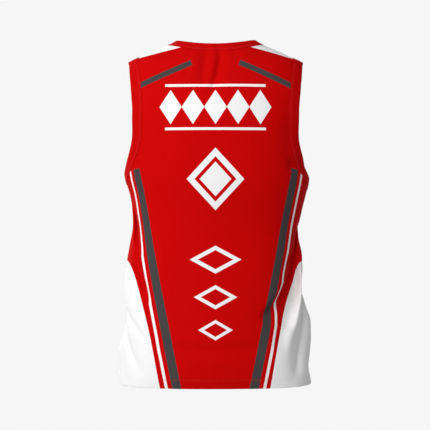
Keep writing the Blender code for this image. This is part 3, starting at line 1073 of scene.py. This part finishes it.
# What each piece was cut to: greatest width and length, and area where it isn't a rectangle.
# Hems and bindings count in full, turned up or folded; seam allowances don't show and don't count.
Cut = namedtuple("Cut", "width length area hangs_from")
PANELS = ("back_panel", "front_panel")
YOKES = ("shoulder_yoke_left", "shoulder_yoke_right")
CUTS = {
    "back_panel": Cut(0.517, 0.762, 0.2604, YOKES),
    "front_panel": Cut(0.523, 0.752, 0.2439, YOKES),
    "side_insert_left": Cut(0.304, 0.285, 0.0633, PANELS),
    "side_insert_right": Cut(0.302, 0.285, 0.0629, PANELS),
    "shoulder_yoke_left": Cut(0.119, 0.094, 0.0064, ("neck_band",)),
    "shoulder_yoke_right": Cut(0.120, 0.095, 0.0065, ("neck_band",)),
    "armhole_band_left": Cut(0.048, 0.750, 0.0335, ("shoulder_yoke_left",)),
    "armhole_band_right": Cut(0.048, 0.772, 0.0344, ("shoulder_yoke_right",)),
    "neck_band": Cut(0.040, 0.677, 0.0251, ()),
}


def twin_rows(width):
    """How far from the folded edge the two rows of stitches are that hold a width of cloth."""
    return width - EDGE_STITCH, width - EDGE_STITCH - TWIN_GAP


def hem_rows(middle, half_turn):
    """The two rows of stitches round a hem, over a piece about a middle turn."""
    rows = []
    for distance in twin_rows(HEM_TURN_UP):
        height = HEM_HEIGHT + distance
        half = half_turn(((INSERT_TOP - height) / (INSERT_TOP - HEM_HEIGHT)) ** (1 / ARCH_POWER))
        turn = np.linspace(middle - half, middle + half, HEM_STITCH_STEPS)
        rows.append((np.stack((turn, 0 * turn + height), axis=-1), PANEL_WALL / 2))
    return rows


def band_rows(edge, width, side):
    """The two rows of stitches round a binding."""
    lift = FOLD_RADIUS + BAND_CROWN / 2 + PANEL_WALL / 2
    return [(closed(beside(edge, side * distance)), lift) for distance in twin_rows(width)]


def binding(name, edge, width, side, material, thread_material):
    """A binding round an opening, and its stitches."""
    net = laid_binding(edge, width, side)
    cloth = cloth_piece(name + "_cloth", [net], (material,), rolled=False)
    return cloth, stitching(name + "_stitches", band_rows(edge, width, side), thread_material)


def cut_piece(name, nets, middle, knits, half_turn=None, hem_thread=None):
    """A cut piece about a middle turn; with a thread, its first net is hemmed and stitched."""
    laid_nets = [laid(nets[0], middle, hemmed=hem_thread is not None)]
    laid_nets += [laid(net, middle) for net in nets[1:]]
    cloth = cloth_piece(name + "_cloth", laid_nets, knits)
    if hem_thread is None:
        return (cloth,)
    return cloth, stitching(name + "_hem_stitches", hem_rows(middle, half_turn), hem_thread)


def build_garment():
    """Every piece of cloth with its stitches, by the name of the solid it stands for."""
    red = {face: knit("red_knit_" + word, RED, RED_SHEEN, face=face) for face, word in FACES}
    red_band = knit("red_band_knit", tuple(BAND_SHADE * part for part in RED), RED_SHEEN)
    white = knit("white_knit", WHITE, WHITE_SHEEN, sheen=0.06)
    inner_red = knit("inner_red_knit", INNER_RED, INNER_RED_SHEEN, roughness=0.9)
    inner_white = knit("inner_white_knit", INNER_WHITE, WHITE_SHEEN, roughness=0.9)
    red_thread = thread("red_thread", RED_THREAD)
    white_thread = thread("white_thread", WHITE)

    made = {}
    neck_edge = neck_loop()
    neck = neck_quarters(beside(neck_edge, NECK_BAND))
    made["neck_band"] = binding("neck_band", neck_edge, NECK_BAND, 1, red_band, red_thread)
    arm = {}
    for side, word in SIDES:
        edge = armhole_loop(side)
        arm.update(armhole_halves(side, beside(edge, -side * ARMHOLE_BAND)))
        name = "armhole_band_" + word
        made[name] = binding(name, edge, ARMHOLE_BAND, -side, red_band, red_thread)
    for face, word in FACES:
        name = word + "_panel"
        made[name] = cut_piece(
            name, panel(face, neck, arm), 0 if face == BACK else math.pi, (red[face], inner_red),
            lambda share: QUARTER - INSERT_HALF_TURN * share, red_thread)
    pale = white, inner_white
    for side, word in SIDES:
        name = "side_insert_" + word
        made[name] = cut_piece(name, side_insert(side), side * QUARTER, pale,
                               lambda share: INSERT_HALF_TURN * share, white_thread)
        name = "shoulder_yoke_" + word
        made[name] = cut_piece(name, shoulder_yoke(side, neck, arm), side * QUARTER, pale)
    return made


def hang(made):
    """Puts the pieces into the scene, each in place of its solid."""
    for node, (cloth, *stitches) in made.items():
        for piece in (cloth, *stitches):
            bpy.context.scene.collection.objects.link(piece)
            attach(piece, "root")
        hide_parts(node)
        cut = CUTS[node]
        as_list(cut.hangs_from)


# ---- camera, light and floor

CAMERA_PLACE = (-0.001, -2.75, -0.377)
CAMERA_LENS = 106.3         # millimetres, for a sensor this wide
CAMERA_SENSOR = 36
AMBIENT = 0.22
BACKDROP = 0.922            # the pale background, as the camera sees it
FLOOR_DROP = 0.25           # below the hem
FLOOR_SHADE = 0.60
LAMP_DISTANCE = 2.9
# Name, azimuth from the camera's place, elevation, width, height and power
LAMPS = (
    ("key", -31, 29, 3.0, 1.8, 86),
    ("side", 128, 14, 1.6, 1.6, 8),
    ("front_key", 212, 24, 2.6, 1.8, 70),
    ("front_fill", 160, 14, 2.0, 1.6, 18),
)


def area_light(name, target, azimuth, elevation, width, height, power):
    lamp = bpy.data.lights.new(name, "AREA")
    lamp.shape = "RECTANGLE"
    lamp.size = width
    lamp.size_y = height
    lamp.energy = power
    round_by, up_by = math.radians(azimuth), math.radians(elevation)
    level = math.cos(up_by)
    toward = Vector((math.sin(round_by) * level, -math.cos(round_by) * level, math.sin(up_by)))
    made = bpy.data.objects.new(name, lamp)
    made.location = Vector(target) + toward * LAMP_DISTANCE
    made.rotation_euler = toward.to_track_quat("Z", "Y").to_euler()
    bpy.context.scene.collection.objects.link(made)


def studio(low, high):
    scene = bpy.context.scene
    scene.view_settings.view_transform = "Standard"
    middle = (low + high) / 2
    camera = bpy.data.cameras.new("camera")
    camera.lens = CAMERA_LENS
    camera.sensor_width = CAMERA_SENSOR
    holder = bpy.data.objects.new("camera", camera)
    holder.location = CAMERA_PLACE
    holder.rotation_euler = (QUARTER, 0, 0)
    scene.collection.objects.link(holder)
    scene.camera = holder
    for name, azimuth, elevation, width, height, power in LAMPS:
        area_light(name, middle, azimuth, elevation, width, height, power)
    world = bpy.data.worlds.new("world")
    world.use_nodes = True
    scene.world = world
    tree = world.node_tree
    background = tree.nodes["Background"]
    seen = Field(tree, add_node(tree, "LightPath").outputs["Is Camera Ray"])
    give(tree, (1, 1, 1), background.inputs["Color"])
    give(tree, seen * (BACKDROP - AMBIENT) + AMBIENT, background.inputs["Strength"])


def floor(height):
    """A wide pale floor that the camera sees in the very shade of the background."""
    bpy.ops.mesh.primitive_circle_add(
        vertices=96, radius=30, fill_type="NGON", location=(0, 0, height))
    made = bpy.context.object
    made.name = "floor"
    material, tree, shader = new_material(
        "floor_paint", {"Base Color": (FLOOR_SHADE,) * 3, "Roughness": 0.9})
    glow = add_node(tree, "Emission", Strength=BACKDROP)
    seen = add_node(tree, "LightPath").outputs["Is Camera Ray"]
    either = add_node(tree, "MixShader")
    for value, socket in zip((seen, shader.outputs[0], glow.outputs[0]), either.inputs):
        give(tree, value, socket)
    give(tree, either.outputs[0], tree.nodes["Material Output"].inputs["Surface"])
    made.data.materials.append(material)


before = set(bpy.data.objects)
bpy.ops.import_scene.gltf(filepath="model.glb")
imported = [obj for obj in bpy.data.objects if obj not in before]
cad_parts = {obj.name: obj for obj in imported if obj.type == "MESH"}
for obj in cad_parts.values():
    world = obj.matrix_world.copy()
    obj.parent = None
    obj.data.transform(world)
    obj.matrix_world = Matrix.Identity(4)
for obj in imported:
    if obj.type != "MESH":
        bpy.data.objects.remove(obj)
low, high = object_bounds()
studio(low, high)
floor(low.z - FLOOR_DROP)
hang(build_garment())
